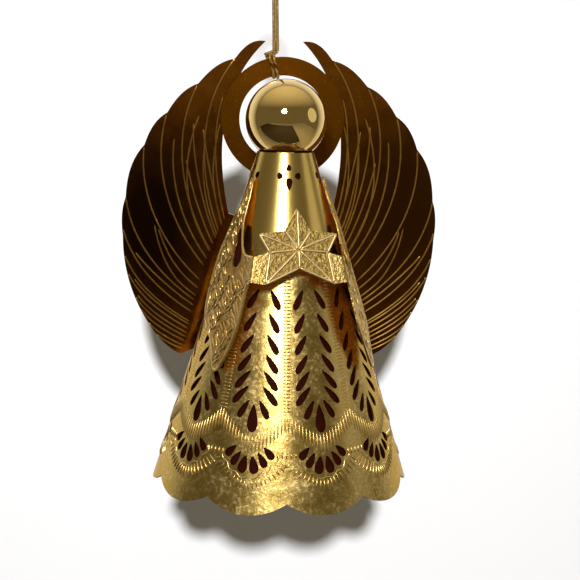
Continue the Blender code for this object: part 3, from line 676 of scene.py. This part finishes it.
star_look, tree, shader, group = metal("star_brass")
tint(tree, shader, group.outputs["Stipple"], (0.25, 0.158, 0.035), (0.39, 0.275, 0.092))
tree.links.new(ramp(tree, group.outputs["Fleck"], 0.0, 1.0, 0.40, 0.26), shader.inputs["Roughness"])
emboss(tree, shader, group.outputs["Stipple"], 0.00030)
# The rays are a pale brass, a painted highlight that keeps them bright from every side
ray_highlight_look, tree, shader, group = metal("ray_brass_painted_highlight", 0.40)
tint(tree, shader, group.outputs["Grain"], (0.86, 0.66, 0.30), (0.94, 0.80, 0.50))
stroke_look, tree, shader, group = metal("stroke_brass", 0.28)
tint(tree, shader, group.outputs["Bloom"], (0.66, 0.42, 0.11), (0.84, 0.62, 0.26))
for obj, look in ((arms, arm_look), (strokes, stroke_look), (rims, stroke_look), (star, star_look),
                  (rays, ray_highlight_look), (armhole_shade, painted_shade_look)):
    obj.data.materials.append(look)
    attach(obj, "angel")
# The inner side of the sleeves is painted bright warm orange, painted light that stands for the glow bounced
# between sleeve and robe, which the robe beside it mirrors
bounce_light_look, tree, shader, group = metal("arm_inside_painted_bounce", 0.45)
tint(tree, shader, group.outputs["Bloom"], (0.94, 0.46, 0.035), (0.98, 0.54, 0.06))
shader.inputs["Metallic"].default_value = 0.0
arms.data.materials.append(bounce_light_look)
arms.modifiers["sheet"].material_offset = 1
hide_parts("arms_and_star")

# WINGS
# One flat sheet behind the robe, soldered to its back: two wings and the web between them.
# The ground is polished and painted deep brown, a painted dark reflection of the room it mirrors; the
# feathers are drawn by thin raised lines left by the etch.
WING_TILT = math.radians(6.5)
WING_SHEET = 0.0003
WING_GAP = 0.0003
WING_TOUCH_HEIGHT = 0.0230
WING_MAP_SIZE = 0.08
WING_TOUCH = HEM_RADIUS - ROBE_SLOPE * WING_TOUCH_HEIGHT + LAP_STEP + WING_GAP + WING_SHEET / 2.0
WING_Y = WING_TOUCH + WING_TOUCH_HEIGHT * math.tan(WING_TILT)
# The middle of the web, top and bottom, and the net of points that shapes the right wing, in millimetres
WEB = ((0.0, 41.0), (0.0, 24.5))
NET = (((3.3, 75.3), (11.6, 67.4), (12.0, 54.8), (9.5, 43.9)),
       ((18.8, 66.5), (24.1, 55.4), (21.3, 41.4), (15.4, 32.2)),
       ((36.9, 55.9), (34.1, 44.1), (25.8, 36.1), (14.3, 32.2)),
       ((30.8, 25.1), (26.5, 21.4), (20.9, 20.5), (17.6, 17.5)),
       ((19.4, 17.1), (19.0, 17.0), (18.6, 16.3), (17.9, 16.7)))
# Notches between the feather tips along the outer edge, and how full the edge swells between them
NOTCHES = (0.0, 0.087, 0.195, 0.30, 0.40, 0.541, 0.64, 0.88, 1.0)
FULLNESS = (1.8, 0.9, 0.8, 0.8, 0.6, 0.4, 0.1, 0.1)
EDGE_SWELL, EDGE_FADE, EDGE_STEP = 0.45, 0.25, 0.006
# Grid points from notch to notch, from the outer edge to the root, and from the root to the web's middle
WING_GRID = (19, 40, 12)


def feather(down, inward):
    """Point of the right wing: the net's points, weighted by the binomial terms of two shares. One runs down
    the outer edge, the other inward from that edge to the root."""
    first = np.stack([math.comb(4, k) * down ** k * (1.0 - down) ** (4 - k) for k in range(5)], axis=-1)
    second = np.stack([math.comb(3, k) * inward ** k * (1.0 - inward) ** (3 - k) for k in range(4)], axis=-1)
    return np.einsum("...i,...j,ijk->...k", first, second, np.array(NET)) * 0.001


def wing_place(flat, out=0.0):
    """Point of the wing sheet's plane (across, up), which leans forward by its tilt, moved to the front."""
    across, up = flat[..., 0], flat[..., 1]
    back = WING_Y - up * math.sin(WING_TILT) - out * math.cos(WING_TILT)
    return np.stack([across, back, up * math.cos(WING_TILT) - out * math.sin(WING_TILT)], axis=-1)


runs = [np.linspace(low, high, WING_GRID[0]) for low, high in zip(NOTCHES[:-1], NOTCHES[1:])]
down = np.unique(np.concatenate(runs))
inward = np.insert(np.linspace(0.0, 1.0, WING_GRID[1]), 1, EDGE_STEP)
number = np.searchsorted(NOTCHES, down, side="right").clip(1, len(NOTCHES) - 1) - 1
start, stop = np.array(NOTCHES)[number], np.array(NOTCHES)[number + 1]
within = (down - start) / (stop - start)
chord = feather(stop, 0.0 * stop) - feather(start, 0.0 * start)
swell = EDGE_SWELL * np.array(FULLNESS)[number] * within * (1.0 - within) * (1.0 - 0.5 * within)
outward = np.stack([-chord[:, 1], chord[:, 0]], axis=-1) * swell[:, None]
grid_down, grid_in = np.meshgrid(down, inward, indexing="ij")
fade = np.clip(1.0 - grid_in / EDGE_FADE, 0.0, 1.0) ** 2
half = feather(grid_down, grid_in) + outward[:, None] * fade[..., None]
web_row = np.array(WEB[0])[None] * (1.0 - down[:, None]) + np.array(WEB[1])[None] * down[:, None]
to_web = np.linspace(0.0, 1.0, WING_GRID[2])[1:][None, :, None]
joined = half[:, -1:, :] * (1.0 - to_web) + 0.001 * web_row[:, None] * to_web
half = np.concatenate([half, joined], axis=1)
whole = np.concatenate([half, half[:, -2::-1] * (-1.0, 1.0)], axis=1)
wings = piece("wing_sheet", hang(wing_place(whole)), [grid_faces(*whole.shape[:2])],
              whole / WING_MAP_SIZE + (0.5, 0.0))
thicken(wings, WING_SHEET, 0.0)
# Feather lines: whole ones from the outer edge to the root; forks between them: start, end, share left out
WHOLE_LINES = (0.087, 0.195, 0.30, 0.40, 0.541, 0.62, 0.687, 0.735, 0.80, 0.836, 0.88, 0.92)
FORKS = ((0.04, 0.03, 0.30), (0.10, 0.055, 0.40), (0.13, 0.20, 0.28), (0.15, 0.12, 0.30), (0.235, 0.25, 0.26),
         (0.41, 0.455, 0.55), (0.42, 0.51, 0.50), (0.60, 0.575, 0.30), (0.71, 0.705, 0.2), (0.77, 0.77, 0.15),
         (0.02, 0.055, 0.48), (0.085, 0.105, 0.50), (0.175, 0.155, 0.47))
LINE_HALF, LINE_HEIGHT = 0.00016, 0.00011
LINE_POINTS, LINE_INSET = 40, 0.012
# A fork reaches its end's place before the root, at the pace given
FORK_PACE = 1.3
t = np.linspace(0.0, 1.0, LINE_POINTS)
begin, end, first = np.array([(place, place, 0.0) for place in WHOLE_LINES] + list(FORKS)).T
along = first[:, None] + (1.0 - first[:, None]) * t
across = begin[:, None] + (end - begin)[:, None] * np.sin(np.clip(t * FORK_PACE, 0.0, 1.0) * math.pi / 2.0)
flat = feather(across, np.clip(along, LINE_INSET, 1.0))
flat = np.concatenate([flat, flat * (-1.0, 1.0)])
facing = np.broadcast_to(np.array([0.0, -math.cos(WING_TILT), -math.sin(WING_TILT)]), (*flat.shape[:2], 3))
points, faces = ribs(wing_place(flat, WING_SHEET / 2.0), facing, LINE_HALF, LINE_HEIGHT, taper=0.03)
lines = piece("feather_lines", hang(points.reshape(-1, 3)), [faces])
# Painted dark reflections on the front, nearly black inside the left wing: middle, size and colour of each
# spot
PAINTED_REFLECTION_SPOTS = (((0.205, 0.52), (0.16, 0.30), (0.042, 0.018, 0.007)),
         ((0.80, 0.58), (0.15, 0.28), (0.21, 0.082, 0.011)))
for name, reflection_spots in (("wing_brass", PAINTED_REFLECTION_SPOTS), ("wing_back_brass", ())):
    look, tree, shader, group = metal(name)
    flat_map = pattern_map(tree)
    # Deep brown ground with paler flecks: painted dark reflection
    painted_reflection_tone = blend(tree, group.outputs["Bloom"], (0.31, 0.105, 0.009), (0.47, 0.185, 0.018))
    painted_reflection_tone = blend(tree, ramp(tree, group.outputs["Fleck"], 0.0, 1.0, 0.0, 0.6), painted_reflection_tone, (0.66, 0.36, 0.07))
    # Each spot blends in a painted dark reflection
    for middle, size, deep in reflection_spots:
        place = tree.nodes.new("ShaderNodeMapping")
        place.inputs["Scale"].default_value = (1.0 / size[0], 1.0 / size[1], 1.0)
        place.inputs["Location"].default_value = (-middle[0] / size[0], -middle[1] / size[1], 0.0)
        tree.links.new(flat_map, place.inputs["Vector"])
        away = tree.nodes.new("ShaderNodeVectorMath")
        away.operation = "LENGTH"
        tree.links.new(place.outputs["Vector"], away.inputs[0])
        painted_reflection_tone = blend(tree, ramp(tree, away.outputs["Value"], 1.0, 0.30, 0.0, 0.94), painted_reflection_tone, deep)
    tree.links.new(painted_reflection_tone, shader.inputs["Base Color"])
    tree.links.new(ramp(tree, group.outputs["Bloom"], 0.0, 1.0, 0.13, 0.15), shader.inputs["Roughness"])
    wings.data.materials.append(look)
wings.modifiers["sheet"].material_offset = 1
line_look, tree, shader, group = metal("line_brass", 0.30)
tint(tree, shader, group.outputs["Bloom"], (0.46, 0.26, 0.06), (0.60, 0.38, 0.11))
lines.data.materials.append(line_look)
for obj in (wings, lines):
    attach(obj, "angel")
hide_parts("wings")

# HALO
# A flat ring of the same sheet, soldered on the front of both wings.
# Its face keeps a fine matt speckle.
HALO_HEIGHT = 0.0615
HALO_RADIUS = 0.0111
HALO_BAND = 0.0033
HALO_SHEET = 0.0003
HALO_STANDOFF = 0.0006
HALO_SPOKES = 144
HALO_STEPS = (0.0, 0.03, 0.15, 0.35, 0.5, 0.65, 0.85, 0.97, 1.0)
HALO_Y = WING_Y - HALO_STANDOFF / math.cos(WING_TILT)
reach, spoke = np.meshgrid(HALO_RADIUS - HALO_BAND * np.array(HALO_STEPS),
                           np.arange(HALO_SPOKES) * 360.0 / HALO_SPOKES, indexing="ij")
side = reach * np.sin(np.radians(spoke))
rise = HALO_HEIGHT + reach * np.cos(np.radians(spoke))
ring = np.stack([side, HALO_Y - rise * math.sin(WING_TILT), rise * math.cos(WING_TILT)], axis=-1)
halo = piece("halo_ring", hang(ring), [grid_faces(len(HALO_STEPS), HALO_SPOKES, True)])
thicken(halo, HALO_SHEET, 0.0)
halo_shade_look, tree, shader, group = metal("halo_brass", 0.36)
# The deep brown is painted shade, as the ring lies in shadow
tint(tree, shader, group.outputs["Fleck"], (0.165, 0.058, 0.0024), (0.26, 0.105, 0.009))
tree.links.new(ramp(tree, group.outputs["Grain"], 0.3, 0.7, 0.30, 0.46), shader.inputs["Roughness"])
emboss(tree, shader, group.outputs["Grain"], 0.00005)
halo.data.materials.append(halo_shade_look)
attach(halo, "angel")
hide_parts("halo")

# CORD
# A doubled strand of twisted gold thread: a straight run up from the bend above the halo to a hanging eye.
# Only the lowest part of it is in the photograph.
STRAND = 0.00064
SPACING = 0.00060
CORD_DROP = 0.0260
KNOT_RADIUS = 0.00066
EYE_WIDTH = 0.0052
EYE_HEIGHT = 0.0090
EYE_SHAPE = ((0.22, 0.22), (0.50, 0.58), (0.36, 0.87))
KNOT_GAP = 0.0003
TWIST_PLIES = 2
TWIST_PITCH = 0.0016
TWIST_POINTS = 16
TWIST_DEPTH = 0.14
ROUTE_STEPS = 36


def twist(name, route):
    """Twisted strand along a route: a lobed outline, square to the run, that turns once in every pitch."""
    route = np.asarray(route)
    run = np.gradient(route, axis=0)
    length = np.concatenate([[0.0], np.cumsum(np.linalg.norm(np.diff(route, axis=0), axis=1))])
    run /= np.linalg.norm(run, axis=1, keepdims=True)
    side = np.cross(run, (0.0, 1.0, 0.0)) + 1e-9
    side /= np.linalg.norm(side, axis=1, keepdims=True)
    front = np.cross(side, run)
    turn = np.arange(TWIST_POINTS) * 2.0 * math.pi / TWIST_POINTS
    lobe = STRAND / 2.0 * (1.0 - TWIST_DEPTH + TWIST_DEPTH * np.abs(np.cos(TWIST_PLIES * turn / 2.0)))
    swing = turn[None] + 2.0 * math.pi * length[:, None] / TWIST_PITCH
    points = route[:, None] + (lobe * np.cos(swing))[..., None] * side[:, None]
    points = points + (lobe * np.sin(swing))[..., None] * front[:, None]
    return piece(name, points, [grid_faces(len(route), TWIST_POINTS, True)])


half = SPACING / 2.0
foot = -CORD_DROP + KNOT_RADIUS + KNOT_GAP
eye_low = STRAND / 2.0 - EYE_HEIGHT
rising = [(-half, foot), (-half, 0.5 * (foot + eye_low)), (-half, eye_low)]
rising += [(-wide * EYE_WIDTH, eye_low + tall * EYE_HEIGHT) for wide, tall in EYE_SHAPE]
falling = [(-x, z) for x, z in reversed(rising)]
route = smooth_run([(x, 0.0, z) for x, z in rising + [(0.0, STRAND / 2.0)] + falling], ROUTE_STEPS)
cord = twist("cord_strands", route)
cord_look, tree, shader, group = metal("cord_gold", 0.42)
tint(tree, shader, group.outputs["Fleck"], (0.38, 0.22, 0.055), (0.86, 0.66, 0.34))
tree.links.new(ramp(tree, group.outputs["Grain"], 0.3, 0.7, 0.25, 0.55), shader.inputs["Roughness"])
shader.inputs["Metallic"].default_value = 0.75
emboss(tree, shader, group.outputs["Grain"], 0.00012)
cord.data.materials.append(cord_look)
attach(cord, "cord")
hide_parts("cord_loop")

# KNOT AND HITCH
# Below its straight run the doubled strand bends and takes two slanting turns round the band of the halo.
# The bend is where the ornament turns and swings; the turns are drawn tight and stay with the halo.
HITCH_TURNS = 2
HITCH_PITCH = 0.00070
HITCH_SLANT = 0.00057
HITCH_SHIFT = -0.00045
HITCH_CLEAR = 0.00006
HITCH_TOP = 0.0745
HITCH_START, HITCH_POINTS, HITCH_LEAD_STEPS = 0.25, 140, 10
CORD_SIDE = PIVOT_OWN[0]
LEG_OVERRUN = 0.00026
LEG_REACH = KNOT_RADIUS + LEG_OVERRUN
LEG_GAP = 0.00004
LEG_POINTS = 24
drop = np.linspace(LEG_REACH, -LEG_REACH, LEG_POINTS)
lead = np.stack([0.0 * drop - half, 0.0 * drop, drop], axis=-1)
legs = [twist("cord_bend_" + label, PIVOT + lead * (way, 1.0, 1.0))
        for label, way in (("left", 1.0), ("right", -1.0))]
turns = np.linspace(HITCH_START, HITCH_TURNS + HITCH_START, HITCH_POINTS)
swing = 2.0 * math.pi * turns
wide = np.sign(np.cos(swing)) * np.sqrt(np.abs(np.cos(swing)))
tall = np.sign(np.sin(swing)) * np.sqrt(np.abs(np.sin(swing)))
strand_reach = STRAND / 2.0 + HITCH_CLEAR
coil = np.stack([CORD_SIDE + HITCH_SHIFT + HITCH_PITCH * (turns - np.mean(turns)) - HITCH_SLANT * tall,
                 HALO_HEIGHT + HALO_RADIUS - HALO_BAND / 2.0 + (HALO_BAND / 2.0 + strand_reach) * tall,
                 (HALO_SHEET / 2.0 + strand_reach) * wide], axis=-1)
pivot_up = HITCH_TOP - LEG_REACH - LEG_GAP
lead_in = smooth_run([(CORD_SIDE - half, pivot_up, 0.0), coil[0]], HITCH_LEAD_STEPS)
lead_out = smooth_run([coil[-1], (CORD_SIDE + half, pivot_up, 0.0)], HITCH_LEAD_STEPS)
coil = np.vstack([lead_in[:-1], coil, lead_out[1:]])
coil = np.stack([coil[:, 0], HALO_Y - coil[:, 1] * math.sin(WING_TILT) - coil[:, 2] * math.cos(WING_TILT),
                 coil[:, 1] * math.cos(WING_TILT) - coil[:, 2] * math.sin(WING_TILT)], axis=-1)
hitch = twist("cord_hitch_turns", hang(coil))
for obj, body, slot in ((legs[0], "bend", "knot_gold"), (legs[1], "bend", "knot_gold"),
                        (hitch, "angel", "hitch_gold")):
    obj.data.materials.append(cord_look)
    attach(obj, body)
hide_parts("cord_knot")
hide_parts("cord_hitch")

# STUDIO
# A pale wall stands behind, clear of every swing, over a floor and a low dark flag that the metal mirrors.
# Two soft lamps light the ornament from the front and the side; the wall has a lamp of its own.
CAMERA_PLACE = (-0.011736, -0.215359, -0.067530)
CAMERA_TURN = (89.490, 0.494, -3.700)
CAMERA_LENS = 75.18
CAMERA_SENSOR = 36.0
CAMERA_NEAR = 0.005
camera = bpy.data.objects.new("camera", bpy.data.cameras.new("camera"))
bpy.context.scene.collection.objects.link(camera)
camera.location = CAMERA_PLACE
camera.rotation_euler = tuple(math.radians(a) for a in CAMERA_TURN)
camera.data.lens = CAMERA_LENS
camera.data.sensor_width = CAMERA_SENSOR
camera.data.clip_start = CAMERA_NEAR
bpy.context.scene.camera = camera


def plain(name, colour, corners, one_sided=False):
    """A flat stage panel with a softly clouded surface; a one-sided one vanishes from behind."""
    made = piece(name, corners, [np.array([[0, 1, 2, 3]])])
    look = bpy.data.materials.new(name)
    look.use_nodes = True
    tree = look.node_tree
    shader = tree.nodes["Principled BSDF"]
    coordinate = tree.nodes.new("ShaderNodeTexCoord")
    cloud = noise(tree, coordinate.outputs["Object"], 8.0, 2.0)
    shade = blend(tree, cloud, colour, tuple(0.96 * c for c in colour))
    tree.links.new(shade, shader.inputs["Base Color"])
    shader.inputs["Roughness"].default_value = 0.9
    shader.inputs["Specular IOR Level"].default_value = 0.1
    if one_sided:
        facing = tree.nodes.new("ShaderNodeNewGeometry")
        tree.links.new(maths(tree, "LESS_THAN", facing.outputs["Backfacing"], 0.5), shader.inputs["Alpha"])
    made.data.materials.append(look)
    return made


WALL_Y = 0.120
WALL_TOP = 0.6
FLOOR_Z = -0.30
ROOM = 0.8
FLAG_Z = -0.22
FLAG_SIDES, FLAG_ENDS = (-0.7, 0.11), (-0.43, -0.05)
wall = plain("wall", (0.58, 0.585, 0.60),
             [(-ROOM, WALL_Y, FLOOR_Z), (ROOM, WALL_Y, FLOOR_Z), (ROOM, WALL_Y, WALL_TOP),
              (-ROOM, WALL_Y, WALL_TOP)], True)
plain("floor", (0.50, 0.47, 0.42),
      [(-ROOM, -ROOM, FLOOR_Z), (ROOM, -ROOM, FLOOR_Z), (ROOM, ROOM, FLOOR_Z), (-ROOM, ROOM, FLOOR_Z)])
flag = plain("flag_low", (0.050, 0.040, 0.030),
             [(FLAG_SIDES[0], FLAG_ENDS[0], FLAG_Z), (FLAG_SIDES[1], FLAG_ENDS[0], FLAG_Z),
              (FLAG_SIDES[1], FLAG_ENDS[1], FLAG_Z), (FLAG_SIDES[0], FLAG_ENDS[1], FLAG_Z)])
flag.visible_camera = False


def lamp(name, place, target, size, power, colour):
    """A round soft lamp that looks at a target."""
    light = bpy.data.lights.new(name, "AREA")
    light.shape = "DISK"
    light.size = size
    light.energy = power
    light.color = colour
    made = bpy.data.objects.new(name, light)
    made.location = place
    way = np.array(target) - np.array(place)
    fall = math.atan2(math.hypot(way[0], way[1]), -way[2])
    made.rotation_euler = (fall, 0.0, math.atan2(way[0], -way[1]) + math.pi)
    bpy.context.scene.collection.objects.link(made)
    return made


MIDDLE = (0.0, 0.0, -0.07)
key = lamp("key", (-0.060, -0.44, 0.085), MIDDLE, 0.10, 1.6, (1.0, 0.98, 0.95))
side = lamp("side", (0.42, -0.12, 0.02), MIDDLE, 0.24, 0.08, (1.0, 0.97, 0.92))
# The wall's own lamp throws the one shadow that lies close round the ornament
back = lamp("back", (-0.0190, -0.44, 0.0050), MIDDLE, 0.016, 5.3, (1.0, 1.0, 1.0))
for light, state in ((key, "EXCLUDE"), (side, "EXCLUDE"), (back, "INCLUDE")):
    lit = bpy.data.collections.new(light.name + "_lit")
    lit.objects.link(wall)
    lit.collection_objects[0].light_linking.link_state = state
    light.light_linking.receiver_collection = lit
world = bpy.data.worlds.new("room")
world.use_nodes = True
tree = world.node_tree
around = tree.nodes.new("ShaderNodeTexCoord")
above = ramp(tree, axes(tree, around.outputs["Generated"])["Z"], 0.45, 1.0)
sky = blend(tree, above, (0.150, 0.128, 0.084), (0.80, 0.72, 0.56))
tree.links.new(sky, tree.nodes["Background"].inputs["Color"])
scene = bpy.context.scene
scene.world = world
scene.view_settings.view_transform = "Standard"
